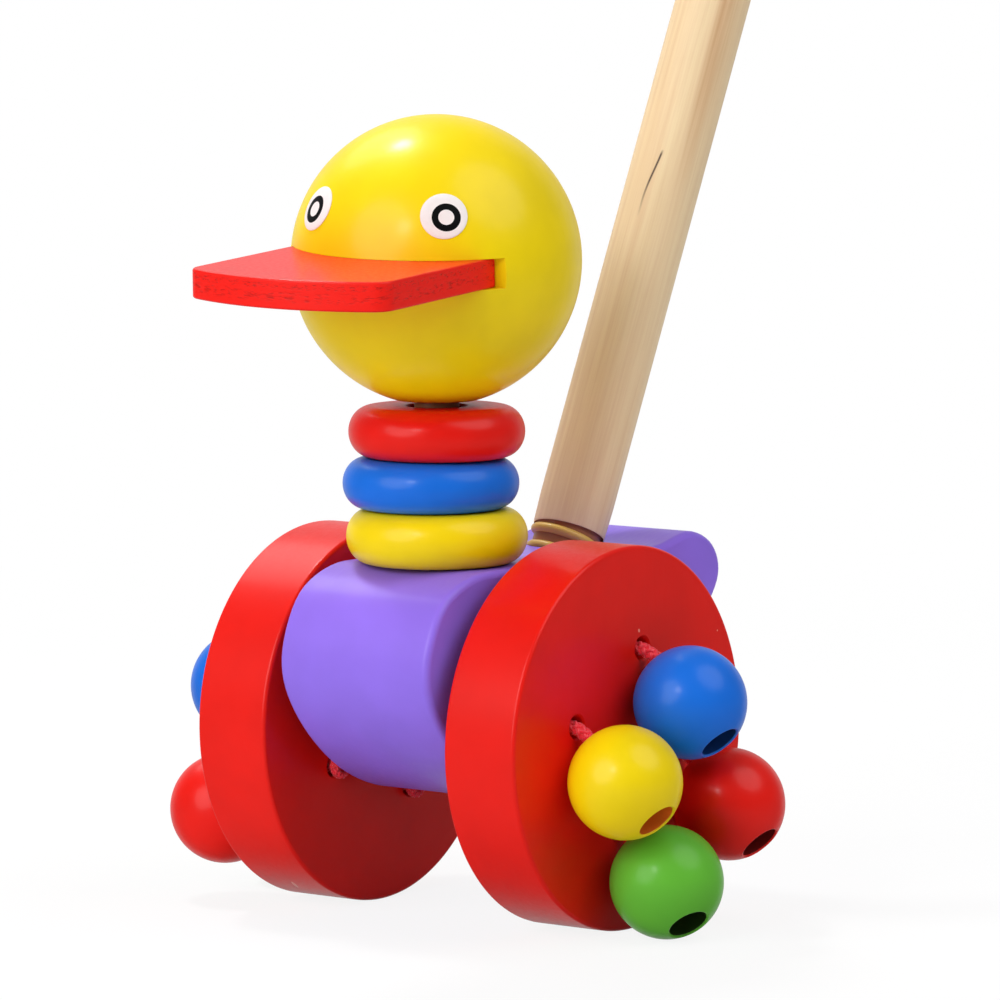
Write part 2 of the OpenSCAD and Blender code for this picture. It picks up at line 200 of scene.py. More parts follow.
def middle(node):
    """The middle of a node's box, and half its size."""
    low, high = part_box(node)
    return (low + high) / 2, (high - low) / 2


def place_along(origin, direction):
    """The place whose own Z runs along a direction from an origin."""
    return Matrix.Translation(origin) @ Vector(direction).to_track_quat("Z", "Y").to_matrix().to_4x4()


def arc(centre, radius, start, end, steps):
    """Points (radius, height) along an arc whose angles are in degrees."""
    turns = [math.radians(start + (end - start) * k / steps) for k in range(steps + 1)]
    return [(centre[0] + radius * math.cos(t), centre[1] + radius * math.sin(t)) for t in turns]


def object_of(name, mesh):
    """The scene's object of a bmesh, with its faces outward."""
    bmesh.ops.recalc_face_normals(mesh, faces=mesh.faces)
    data = bpy.data.meshes.new(name)
    mesh.to_mesh(data)
    mesh.free()
    piece = bpy.data.objects.new(name, data)
    bpy.context.scene.collection.objects.link(piece)
    return piece


def skinned(name, loops, closed=False):
    """An object whose faces join each loop of points to the next; a loop of one point is a pole."""
    mesh = bmesh.new()
    rings = [[mesh.verts.new(point) for point in loop] for loop in loops]
    count = max(len(ring) for ring in rings)
    for low, high in zip(rings, rings[1:] + (rings[:1] if closed else [])):
        for k in range(count):
            n = k + 1
            corners = [low[k % len(low)], low[n % len(low)], high[n % len(high)], high[k % len(high)]]
            mesh.faces.new(dict.fromkeys(corners))
    return object_of(name, mesh)


def turned(name, profile, place, closed=False):
    """A lathe-turned object: points (radius, height) spun round the place's own Z."""
    spin = [(math.cos(math.tau * k / SEGMENTS), math.sin(math.tau * k / SEGMENTS)) for k in range(SEGMENTS)]
    loops = []
    for radius, height in profile:
        if radius < TINY:
            loops.append([place @ Vector((0, 0, height))])
        else:
            loops.append([place @ Vector((radius * c, radius * s, height)) for c, s in spin])
    return skinned(name, loops, closed)


def baked(piece):
    """The piece with its modifiers baked into its mesh."""
    graph = bpy.context.evaluated_depsgraph_get()
    mesh = bpy.data.meshes.new_from_object(piece.evaluated_get(graph))
    piece.modifiers.clear()
    piece.data = mesh
    return piece


def carved(piece, cutters):
    """The piece with the cutters taken out of it and removed."""
    for cutter in cutters:
        cut = piece.modifiers.new("Cut", "BOOLEAN")
        cut.operation = "DIFFERENCE"
        cut.solver = "EXACT"
        cut.object = cutter
    baked(piece)
    for cutter in cutters:
        bpy.data.objects.remove(cutter)
    return piece


def marked(piece, place):
    """Notes each point's place on its own bench, in millimetres, for the materials to read."""
    mesh = piece.data
    inverse = place.inverted()
    bench = mesh.attributes.new(BENCH, "FLOAT_VECTOR", "POINT")
    bench.data.foreach_set("vector", [part for v in mesh.vertices for part in (inverse @ v.co) / MM])
    mesh.shade_smooth()
    mesh.set_sharp_from_angle(angle=SHARP_EDGE)
    return piece


def painted(piece, *materials):
    """Gives the piece its materials, in order."""
    piece.data.materials.clear()
    for material in materials:
        piece.data.materials.append(material)
    return piece


# Materials


def add_node(tree, kind, settings, **inputs):
    """Adds a node with its settings; each input is a value, or a socket to link from."""
    node = tree.nodes.new(kind)
    for key, value in settings.items():
        setattr(node, key, value)
    for key, value in inputs.items():
        name = key.replace("_", " ")
        socket = node.inputs[int(key[1:])] if key[1:].isdigit() else node.inputs[name]
        if isinstance(value, bpy.types.NodeSocket):
            tree.links.new(value, socket)
        else:
            socket.default_value = value
    return node


def new_material(name):
    """A new material, with its tree and its shader."""
    material = bpy.data.materials.new(name)
    material.use_nodes = True
    return material, material.node_tree, material.node_tree.nodes["Principled BSDF"]


def bench_place(tree):
    """Where a point lies on its piece's own bench, in millimetres."""
    return add_node(tree, "ShaderNodeAttribute", {"attribute_name": BENCH}).outputs["Vector"]


def stretched(tree, place, steps):
    """A place measured in a step of its own along each axis."""
    scale = [1 / step for step in steps]
    return add_node(tree, "ShaderNodeMapping", {}, Vector=place, Scale=scale).outputs["Vector"]


def noise(tree, place, scale, detail, roughness=0.5):
    """Cloudy noise over a place, from nought to one."""
    inputs = {"Vector": place, "Scale": scale, "Detail": detail, "Roughness": roughness}
    return add_node(tree, "ShaderNodeTexNoise", {}, **inputs).outputs["Fac"]


def mapped(tree, value, low, high, to_low=0.0, to_high=1.0, smooth=False):
    """A value carried from one range to another and held inside it."""
    settings = {"interpolation_type": "SMOOTHSTEP"} if smooth else {}
    inputs = {"From_Min": low, "From_Max": high, "To_Min": to_low, "To_Max": to_high}
    return add_node(tree, "ShaderNodeMapRange", settings, Value=value, **inputs).outputs["Result"]


def maths(tree, operation, *values):
    """One step of arithmetic on values or sockets."""
    inputs = {f"i{k}": value for k, value in enumerate(values)}
    return add_node(tree, "ShaderNodeMath", {"operation": operation}, **inputs).outputs["Value"]


def blended(tree, share, first, second):
    """A colour between two others, by a share of the second."""
    return add_node(tree, "ShaderNodeMix", {"data_type": "RGBA"}, i0=share, i6=first, i7=second).outputs[2]


def dimmed(value, share):
    """A colour brought to a share of its light."""
    return [part * share for part in value[:3]] + [1.0]


def lacquer(name, tint, grain, chips=()):
    """Satin lacquer sprayed on sanded wood: even colour, soft gloss and the ghost of the grain under it.

    Each chip shows pale wood: its two ends on the bench, and how far the chip spreads round them.
    """
    known = bpy.data.materials.get(name)
    if known:
        return known
    material, tree, shader = new_material(name)
    bench = bench_place(tree)
    fibre = noise(tree, stretched(tree, bench, grain), 1.0, 3.0, 0.6)
    cloud = noise(tree, bench, 1 / 11, 2.0)
    peel = noise(tree, bench, 1 / 0.9, 2.0)
    coat = blended(tree, mapped(tree, cloud, 0.3, 0.7), dimmed(tint, 0.92), list(tint))
    for start, end, spread in chips:
        reach = -(end - start).length
        for tip in (start, end):
            gap = add_node(tree, "ShaderNodeVectorMath", {"operation": "DISTANCE"}, i0=bench, i1=tip)
            reach = maths(tree, "ADD", gap.outputs["Value"], reach)
        coat = blended(tree, mapped(tree, reach, spread, 0.4 * spread), coat, list(colours().chip))
    ghost = add_node(tree, "ShaderNodeBump", {}, Height=fibre, Strength=0.2, Distance=0.03 * MM)
    under = ghost.outputs["Normal"]
    skin = add_node(tree, "ShaderNodeBump", {}, Height=peel, Strength=0.15, Distance=0.04 * MM, Normal=under)
    tree.links.new(coat, shader.inputs["Base Color"])
    tree.links.new(mapped(tree, fibre, 0.3, 0.7, 0.36, 0.46), shader.inputs["Roughness"])
    tree.links.new(skin.outputs["Normal"], shader.inputs["Normal"])
    shader.inputs["Specular IOR Level"].default_value = 0.14
    shader.inputs["Coat Weight"].default_value = 0.24
    shader.inputs["Coat Roughness"].default_value = 0.2
    return material


# Direction of the heartwood streak on the handle's own bench.
HEART_SIDE = (math.cos(math.radians(155)), math.sin(math.radians(155)), 0.0)


def heart_mask(tree, bench, streaks):
    """How much heartwood shows: a soft streak on one side of the dowel, well above its foot."""
    toward = add_node(tree, "ShaderNodeVectorMath", {"operation": "DOT_PRODUCT"}, i0=bench, i1=HEART_SIDE)
    near = mapped(tree, toward.outputs["Value"], 6.2, 6.8, smooth=True)
    height = add_node(tree, "ShaderNodeSeparateXYZ", {}, Vector=bench).outputs["Z"]
    above = mapped(tree, height, 60.0, 100.0, smooth=True)
    return maths(tree, "MULTIPLY", maths(tree, "MULTIPLY", near, above), streaks)


def crack_mask(tree, bench):
    across, toward, height = add_node(tree, "ShaderNodeSeparateXYZ", {}, Vector=bench).outputs
    line = mapped(tree, height, 64.5, 77.0, -1.4, -2.75, smooth=True)
    gap = maths(tree, "ABSOLUTE", maths(tree, "SUBTRACT", across, line))
    mask = mapped(tree, gap, 0.08, 0.26, 1.0, 0.0)
    for value, start, end in ((height, 61.5, 69.0), (height, 75.2, 74.2), (toward, 0.0, 0.1)):
        mask = maths(tree, "MULTIPLY", mask, mapped(tree, value, start, end))
    return mask


def ply_edge(name):
    """Lacquer over the sawn edge of plywood: streaky pits along the middle ply, specks under the top edge."""
    tint = colours().red
    material, tree, shader = new_material(name)
    bench = bench_place(tree)
    height = add_node(tree, "ShaderNodeSeparateXYZ", {}, Vector=bench).outputs["Z"]
    rough = 0.0
    # Each band in millimetres: its middle and half width under the beak's top, its pits' length and height.
    thick = sizes().beak_thick / MM
    for middle_at, half, long, tall in ((-0.58 * thick, 1.1, 1.7, 0.42), (-0.22 * thick, 0.7, 0.9, 0.3)):
        pits = noise(tree, stretched(tree, bench, (long, long, tall)), 1.0, 2.0, 0.6)
        away = maths(tree, "ABSOLUTE", maths(tree, "SUBTRACT", height, middle_at))
        near = mapped(tree, away, half, 0.5 * half)
        rough = maths(tree, "MULTIPLY_ADD", mapped(tree, pits, 0.5, 0.78), near, rough)
    sunk = add_node(tree, "ShaderNodeBump", {"invert": True}, Height=rough, Strength=0.6, Distance=0.15 * MM)
    tree.links.new(blended(tree, rough, dimmed(tint, 1.08), dimmed(tint, 0.6)), shader.inputs["Base Color"])
    tree.links.new(sunk.outputs["Normal"], shader.inputs["Normal"])
    shader.inputs["Roughness"].default_value = 0.45
    shader.inputs["Specular IOR Level"].default_value = 0.2
    return material


# Growth bands, streaks and single fibres: spacing in millimetres across and along the grain, detail, share.
WOOD_LAYERS = ((5.0, 150.0, 2.0, 0.42), (1.1, 60.0, 4.0, 0.38), (0.3, 14.0, 2.0, 0.2))


def bare_wood(name, flawed=False):
    """Sanded birch dowel: pale fibres along the length, broad warm streaks and a dull, dry surface.

    A flawed dowel also has a brown streak of heartwood near its rear edge and one short check.
    """
    paint = colours()
    material, tree, shader = new_material(name)
    bench = bench_place(tree)
    layers = []
    total = 0.0
    for across, down, detail, share in WOOD_LAYERS:
        layers.append(noise(tree, stretched(tree, bench, (across, across, down)), 1.0, detail, 0.55))
        total = maths(tree, "MULTIPLY_ADD", layers[-1], share, total)
    wood = blended(tree, mapped(tree, total, 0.38, 0.68), list(paint.wood), list(paint.wood_dark))
    if flawed:
        wood = blended(tree, heart_mask(tree, bench, layers[1]), wood, list(paint.wood_heart))
        wood = blended(tree, crack_mask(tree, bench), wood, list(paint.wood_crack))
    relief = add_node(tree, "ShaderNodeBump", {}, Height=layers[2], Strength=0.3, Distance=0.05 * MM)
    tree.links.new(wood, shader.inputs["Base Color"])
    tree.links.new(relief.outputs["Normal"], shader.inputs["Normal"])
    shader.inputs["Roughness"].default_value = 0.5
    return material


def braid(name):
    """Braided nylon: saturated yarn with a slight silky sheen on each strand."""
    material, tree, shader = new_material(name)
    place = add_node(tree, "ShaderNodeTexCoord", {}).outputs["Object"]
    yarn = noise(tree, place, 1 / (0.35 * MM), 2.0)
    tint = colours().cord
    tree.links.new(blended(tree, yarn, dimmed(tint, 0.85), list(tint)), shader.inputs["Base Color"])
    shader.inputs["Roughness"].default_value = 0.42
    shader.inputs["Sheen Weight"].default_value = 0.3
    return material


def vinyl(name, tint):
    """Printed vinyl disc: smooth, slightly glossy, with the faint cloud of its ink."""
    material, tree, shader = new_material(name)
    ink = noise(tree, bench_place(tree), 1 / 0.8, 2.0)
    tree.links.new(blended(tree, ink, dimmed(tint, 0.93), list(tint)), shader.inputs["Base Color"])
    shader.inputs["Roughness"].default_value = 0.34
    shader.inputs["Specular IOR Level"].default_value = 0.12
    return material


# Grain spacing in millimetres: across a turned blank, along a blank and across a cut board.
TURNED_GRAIN = (0.8, 0.8, 9.0)
DISC_GRAIN = (0.8, 9.0, 0.8)
BOARD_GRAIN = (0.8, 11.0, 0.8)


def turned_lacquer(shade):
    """The lacquer of a turned piece, by the name of its colour."""
    return lacquer(f"Satin lacquer, {shade}", getattr(colours(), shade), TURNED_GRAIN)


def painted_peg_and_groove_shade():
    """Darker brown-red birch for the neck peg and the groove of the handle's thread: painted shade on both, and a
    painted reflection of the red wheel in the groove.
    """
    return lacquer("Waxed birch groove", colours().groove, TURNED_GRAIN)


def finished(piece, place, body, slot, material, *nodes):
    """Marks and paints the piece, hangs it on its body's empty and hides the nodes that it stands in for."""
    marked(piece, place)
    painted(piece, material)
    piece.modifiers.new("Weighted Normal", "WEIGHTED_NORMAL").keep_sharp = True
    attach(piece, body)
    if nodes:
        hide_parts(*nodes)
    return piece


def part_painted(piece, material, chosen):
    """Gives a second material to the polygons that are chosen."""
    piece.data.materials.append(material)
    for polygon in piece.data.polygons:
        polygon.material_index = int(chosen(polygon))


def dowel_profile(radius, half):
    """A plain dowel from minus half to half its length, with bevelled ends."""
    bevel = DOWEL_BEVEL
    profile = [(0, -half), (radius - bevel, -half), (radius, bevel - half)]
    return profile + [(radius, half - bevel), (radius - bevel, half), (0, half)]


# Pieces


class DUCK_TOY_OT_body(bpy.types.Operator):
    """Make the lacquered board that is the duck's body"""

    bl_idname = "duck_toy.body"
    bl_label = "Body"

    def execute(self, context):
        centre, half = middle("body")

        def is_side(normal, at):
            return abs(normal.x) > FLAT and abs(at.x - centre.x) > half.x - SIDE_SLACK

        mesh = bmesh.new()
        mesh.from_mesh(frame["nodes"]["body"].data)
        bmesh.ops.remove_doubles(mesh, verts=mesh.verts, dist=WELD)
        # The frame's flat sides hold folded slivers, so each is filled afresh from its outline.
        flat = [face for face in mesh.faces if is_side(face.normal, face.calc_center_median())]
        bmesh.ops.delete(mesh, geom=flat, context="FACES")
        for side in SIDES.values():
            rim = [edge for edge in mesh.edges if edge.is_boundary and side * edge.verts[0].co.x > 0]
            bmesh.ops.triangle_fill(mesh, use_beauty=True, edges=rim)
        piece = object_of("body_board", mesh)
        piece.data.attributes.remove(piece.data.attributes["custom_normal"])
        place = Matrix.Translation(centre)
        paint = lacquer("Satin lacquer, purple", colours().purple, BOARD_GRAIN)
        finished(piece, place, "duck", "purple_lacquer", paint, "body")
        # A crease where each flat side meets its rounded rim keeps the rim's shading off the side.
        keys = {True: set(), False: set()}
        for polygon in piece.data.polygons:
            keys[is_side(polygon.normal, polygon.center)].update(polygon.edge_keys)
        for edge in piece.data.edges:
            edge.use_edge_sharp |= edge.key in keys[True] and edge.key in keys[False]
        return {"FINISHED"}


# Chips in the wheels' lacquer, in millimetres of the frame: two ends, and the spread round them.
CHIPS = {
    "left": (
        ((34.6, -84.07, 53.04), (34.6, -83.92, 52.63), 0.3),
        ((34.6, -60.2, 50.5), (34.6, -60.0, 50.4), 0.2),
    ),
    "right": (((-27.9, -104.0, 4.7), (-28.7, -101.3, 3.3), 0.12),),
}


class DUCK_TOY_OT_wheels(bpy.types.Operator):
    """Turn the axle and the two wheels, and drill their cord holes"""

    bl_idname = "duck_toy.wheels"
    bl_label = "Wheels and axle"

    def execute(self, context):
        size = sizes()
        for name, side in SIDES.items():
            centre, half = middle(f"wheel_{name}")
            thick = 2 * half.x
            radius = half.z
            edge = size.wheel_edge
            bore = size.wheel_bore / 2
            inner = Vector((centre.x - side * half.x, centre.y, centre.z))
            place = place_along(inner, (side, 0, 0))
            bench = place.inverted()
            chips = [
                [bench @ (Vector(end) * MM) / MM for end in ends] + [spread] for *ends, spread in CHIPS[name]
            ]
            paint = lacquer(f"Satin lacquer, red disc, {name}", colours().red, DISC_GRAIN, chips)
            rim = radius - edge
            profile = [(0, size.wheel_bite), (bore, size.wheel_bite), (bore, 0)]
            profile += [(0.5 * radius, 0), (rim - edge, 0)]
            profile += arc((rim, edge), edge, -90, 0, 6)
            profile += arc((rim, thick - edge), edge, 0, 90, 6)
            profile += [(rim - edge, thick), (0.5 * radius, thick), (0, thick)]
            piece = turned(f"wheel_{name}_turned", profile, place)
            drills = []
            for shade in BEAD_COLOURS:
                hole = Vector(JOINTS[f"hang_{name}_{shade}"]["pos_m"])
                start = Vector((inner.x, hole.y, hole.z))
                r = size.hole / 2
                lip = size.hole_edge
                bit = [(0, -lip), (r + 2 * lip, -lip), (r, lip), (r, thick - lip)]
                bit += [(r + 2 * lip, thick + lip), (0, thick + lip)]
                drills.append(turned(f"drill_{name}_{shade}", bit, place_along(start, (side, 0, 0))))
            carved(piece, drills)
            finished(piece, place, "wheels", "red_lacquer", paint, f"wheel_{name}")
        centre, half = middle("axle")
        place = place_along(centre, (1, 0, 0))
        piece = turned("axle_dowel", dowel_profile(half.z, half.x), place)
        finished(piece, place, "wheels", "bare_wood", bare_wood("Birch dowel, sanded"), "axle")
        return {"FINISHED"}


class DUCK_TOY_OT_neck(bpy.types.Operator):
    """Turn the neck's peg and its three loose rings"""

    bl_idname = "duck_toy.neck"
    bl_label = "Neck peg and rings"

    def execute(self, context):
        size = sizes()
        centre, half = middle("neck_peg")
        place = place_along(centre, (0, 0, 1))
        piece = turned("neck_peg_dowel", dowel_profile(half.x, half.z), place)
        # The peg takes the dark groove colour as painted shade in the gap under the head.
        finished(piece, place, "duck", "bare_wood", painted_peg_and_groove_shade(), "neck_peg")
        for shade in ("yellow", "blue", "red"):
            node = f"ring_{shade}"
            centre, half = middle(node)
            rim = half.x - size.ring_round
            bore = size.ring_bore / 2
            lip = 0.5 * MM
            profile = [(rim + size.ring_round * c, half.z * s) for c, s in arc((0, 0), 1, -90, 90, 30)]
            profile += arc((bore + lip, half.z - lip), lip, 90, 180, 4)
            profile += arc((bore + lip, lip - half.z), lip, 180, 270, 4)
            place = place_along(centre, (0, 0, 1))
            piece = turned(f"{node}_turned", profile, place, closed=True)
            finished(piece, place, node, f"{shade}_lacquer", turned_lacquer(shade), node)
        return {"FINISHED"}


def head_place():
    """The head's middle, turned as the head is, and its radius."""
    low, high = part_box("head")
    radius = (high.x - low.x) / 2
    centre = Vector(((low.x + high.x) / 2, high.y - radius, high.z - radius))
    return Matrix.Translation(centre) @ Matrix.Rotation(sizes().head_turn, 4, "Z"), radius


def face_place():
    """The head's middle, turned and rolled as the face is."""
    return head_place()[0] @ Matrix.Rotation(sizes().face_roll, 4, "Y")


def beak_place():
    """The place in which the beak's top is level at zero and its tip points along minus Y."""
    size = sizes()
    rise = Matrix.Translation((0, 0, size.beak_rise))
    return face_place() @ Matrix.Rotation(size.beak_pitch, 4, "X") @ rise


class DUCK_TOY_OT_head(bpy.types.Operator):
    """Turn the head and saw the slot for the beak"""

    bl_idname = "duck_toy.head"
    bl_label = "Head"

    def execute(self, context):
        size = sizes()
        place, radius = head_place()
        flat = size.head_flat / 2
        under = math.sqrt(radius**2 - flat**2)
        bore = size.peg / 2 + SEAT_GAP
        top = size.head_bore - under
        start = -math.degrees(math.acos(flat / radius))
        profile = [(0, top), (bore, top), (bore, -under)]
        profile += arc((0, 0), radius, start, 90, 72)[:-1] + [(0, radius)]
        piece = turned("head_turned", profile, place)
        saw = bmesh.new()
        bmesh.ops.create_cube(saw, size=1.0)
        deep = 2 * radius
        span = Matrix.Diagonal((3 * radius, deep, size.beak_thick + 2 * SEAT_GAP, 1))
        shift = Matrix.Translation((0, -size.slot_floor - deep / 2, -size.beak_thick / 2))
        bmesh.ops.transform(saw, matrix=beak_place() @ shift @ span, verts=saw.verts)
        carved(piece, [object_of("slot_saw", saw)])
        finished(piece, place, "duck", "yellow_lacquer", turned_lacquer("yellow"), "head")
        return {"FINISHED"}


class DUCK_TOY_OT_beak(bpy.types.Operator):
    """Saw the beak's plate and ease its edges"""

    bl_idname = "duck_toy.beak"
    bl_label = "Beak"

    def execute(self, context):
        size = sizes()
        half = size.beak_width / 2
        bow = size.beak_bow
        radius = (half**2 + bow**2) / (2 * bow)
        front = radius - size.beak_reach
        corner = size.beak_corner
        x = half - corner
        y = front - math.sqrt((radius - corner) ** 2 - x**2)
        turn = math.degrees(math.atan2(x, front - y))
        root = -size.slot_floor - SEAT_GAP
        outline = [(-half, root)]
        outline += arc((-x, y), corner, -180, -90 - turn, 8)
        outline += arc((0, front), radius, -90 - turn, turn - 90, 30)[1:-1]
        outline += arc((x, y), corner, turn - 90, 0, 8)
        outline += [(half, root)]
        place = beak_place()
        mesh = bmesh.new()
        base = mesh.faces.new([mesh.verts.new((a, b, -size.beak_thick)) for a, b in outline])
        grown = bmesh.ops.extrude_face_region(mesh, geom=[base])["geom"]
        raised = [part for part in grown if isinstance(part, bmesh.types.BMVert)]
        bmesh.ops.translate(mesh, vec=(0, 0, size.beak_thick), verts=raised)
        bmesh.ops.transform(mesh, matrix=place, verts=mesh.verts)
        piece = object_of("beak_plate", mesh)
        ease = piece.modifiers.new("Eased edges", "BEVEL")
        ease.width = size.beak_edge
        ease.segments = 4
        ease.limit_method = "ANGLE"
        ease.angle_limit = math.radians(40)
        baked(piece)
        finished(piece, place, "duck", "red_lacquer", turned_lacquer("red"), "beak")
        level = place.to_3x3() @ Vector((0, 0, 1))
        ply = ply_edge("Satin lacquer, red ply edge")
        part_painted(piece, ply, lambda polygon: abs(polygon.normal.dot(level)) < 0.5)
        return {"FINISHED"}


# Strips of an eye's disc that hold the black ring, counted from its middle.
RING_STRIPS = (2, 3)


class DUCK_TOY_OT_eyes(bpy.types.Operator):
    """Cut the printed discs of the eyes and lay them on the head"""

    bl_idname = "duck_toy.eyes"
    bl_label = "Eyes"

    def execute(self, context):
        size = sizes()
        face = face_place()
        under = head_place()[1] + SEAT_GAP
        over = under + size.eye_thick
        spot = size.eye_spot / 2
        ring = size.eye_ring / 2
        disc = size.eye / 2
        steps = [0.5 * spot, spot, (spot + ring) / 2, ring, 0.6 * ring + 0.4 * disc, disc - 0.12 * MM]
        white = vinyl("Printed vinyl, white", colours().eye_white)
        black = vinyl("Printed vinyl, black", colours().eye_black)
        for name, side in SIDES.items():
            spin = Matrix.Rotation(size.eye_turn + side * size.eye_spread, 4, "Z")
            place = face @ spin @ Matrix.Rotation(math.pi / 2 - size.eye_rise, 4, "X")
            aside = Vector((side * size.eye_aside, -size.eye_down))

            def loop(reach, ball):
                drift = aside * min(1.0, (disc - reach) / (disc - ring))
                points = []
                for k in range(SEGMENTS):
                    turn = math.tau * k / SEGMENTS
                    x = reach * math.cos(turn) + drift.x
                    y = reach * math.sin(turn) + drift.y
                    points.append(place @ Vector((x, y, math.sqrt(ball**2 - x * x - y * y))))
                return points

            tip = place @ Vector((*aside, math.sqrt(over**2 - aside.length_squared)))
            loops = [[tip]] + [loop(reach, over) for reach in steps]
            loops += [loop(disc, over - 0.05 * MM), loop(disc, under), [place @ Vector((0, 0, under))]]
            piece = skinned(f"eye_{name}_disc", loops)
            finished(piece, place, "duck", "eye_sticker", white, f"eye_{name}")
            part_painted(piece, black, lambda polygon: polygon.index // SEGMENTS in RING_STRIPS)
        return {"FINISHED"}


def end_tree(tree, geometry, material):
    """Ends a tree: real geometry, its material, and the group's output."""
    real = add_node(tree, "GeometryNodeRealizeInstances", {}, Geometry=geometry).outputs["Geometry"]
    last = add_node(tree, "GeometryNodeSetMaterial", {}, Geometry=real, Material=material)
    add_node(tree, "NodeGroupOutput", {}, Geometry=last.outputs["Geometry"])
    return tree


def thread_tree():
    """Nodes that sweep a rounded crest along a spiral, for the thread at the handle's foot."""
    tree = bpy.data.node_groups.new("Handle thread", "GeometryNodeTree")
    for label in ("Radius", "Rise", "Turns", "Crest"):
        tree.interface.new_socket(label, in_out="INPUT", socket_type="NodeSocketFloat")
    tree.interface.new_socket("Material", in_out="INPUT", socket_type="NodeSocketMaterial")
    tree.interface.new_socket("Geometry", in_out="OUTPUT", socket_type="NodeSocketGeometry")
    given = add_node(tree, "NodeGroupInput", {}).outputs
    spiral = add_node(
        tree,
        "GeometryNodeCurveSpiral",
        {},
        Resolution=96,
        Rotations=given["Turns"],
        Start_Radius=given["Radius"],
        End_Radius=given["Radius"],
        Height=given["Rise"],
    )
    crest = add_node(tree, "GeometryNodeCurvePrimitiveCircle", {}, Resolution=12, Radius=given["Crest"])
    swept = add_node(
        tree,
        "GeometryNodeCurveToMesh",
        {},
        Curve=spiral.outputs["Curve"],
        Profile_Curve=crest.outputs["Curve"],
        Fill_Caps=True,
    )
    return end_tree(tree, swept.outputs["Mesh"], given["Material"])


def grown(piece, tree, values):
    """Runs a node tree on the piece with its named values and bakes what it makes."""
    nodes = piece.modifiers.new(tree.name, "NODES")
    nodes.node_group = tree
    for item in tree.interface.items_tree:
        if item.in_out == "INPUT" and item.name in values:
            nodes[item.identifier] = values[item.name]
    return baked(piece)


# Strips of the handle's mesh below its shaft, from the tenon's end to the undercut.
GROOVE_STRIPS = 5
# The thread's crest: its turns, how far under the body's top it starts, and its overlap with the core.
THREAD_TURNS = 2.35
THREAD_START = 5.1 * MM
THREAD_OVERLAP = 0.1 * MM
THREAD_PROUD = 0.12 * MM


class DUCK_TOY_OT_handle(bpy.types.Operator):
    """Turn the handle and cut the thread at its foot"""

    bl_idname = "duck_toy.handle"
    bl_label = "Handle"

    def execute(self, context):
        size = sizes()
        radius = HANDLE_END["dims"]["r_mm"] * MM
        axis = Vector(HANDLE_END["axis"])
        shaft = size.handle_length - radius
        foot = Vector(HANDLE_END["pos_m"]) - axis * shaft
        place = place_along(foot, axis)
        core = radius - size.thread_depth
        bevel = DOWEL_BEVEL
        lip = 0.3 * MM
        rise = size.thread_rise
        profile = [(0, -size.handle_in), (core - bevel, -size.handle_in), (core, bevel - size.handle_in)]
        profile += [(core, rise - lip), (core + 0.3 * lip, rise)]
        thin = radius - size.foot_taper
        profile += [(thin - 0.4 * lip, rise), (thin, rise + lip), (radius, rise + size.foot)]
        profile += [(radius, shaft * k / 24) for k in range(1, 24)]
        profile += arc((0, shaft), radius, 0, 90, 16)[:-1] + [(0, shaft + radius)]
        piece = turned("handle_dowel", profile, place)
        wood = bare_wood("Birch dowel, flawed", flawed=True)
        finished(piece, place, "duck", "bare_wood", wood, "handle")
        # The strips below the shaft take the dark groove colour: painted shade in the groove and a painted
        # reflection of the red wheel.
        part_painted(piece, painted_peg_and_groove_shade(), lambda polygon: polygon.index // SEGMENTS < GROOVE_STRIPS)
        wax = lacquer("Waxed birch thread", colours().thread, TURNED_GRAIN)
        crest = turned("handle_thread", [(0, 0), (MM, 0), (0, MM)], Matrix.Identity(4))
        values = {
            "Radius": core - THREAD_OVERLAP,
            "Rise": THREAD_TURNS * size.thread_pitch,
            "Turns": THREAD_TURNS,
            "Crest": size.thread_depth + THREAD_PROUD,
            "Material": wax,
        }
        grown(crest, thread_tree(), values)
        crest.data.transform(place @ Matrix.Translation((0, 0, -THREAD_START)))
        finished(crest, place, "duck", "bare_wood", wax)
        return {"FINISHED"}


# How far the left wheel's beads have turned on their slack cords, in degrees: downward, and forward.
BEAD_TURN = {
    "left_blue": (5.0, 1.5),
    "left_yellow": (1.5, 1.0),
    "left_green": (8.0, 18.0),
    "left_red": (3.5, -1.0),
}


def bead_place(label):
    """The bead's middle, with its own Z out along its bore, and the mouth of its cord's hole."""
    centre, _ = middle(f"bead_{label}")
    mouth = Vector(JOINTS[f"lift_{label}"]["pos_m"])
    out = (centre - mouth).normalized()
    down, ahead = BEAD_TURN.get(label, (0.0, 0.0))
    out.rotate(Matrix.Rotation(math.radians(down), 3, "Y"))
    out.rotate(Matrix.Rotation(-math.radians(ahead), 3, "Z"))
    return place_along(centre, out), mouth, out


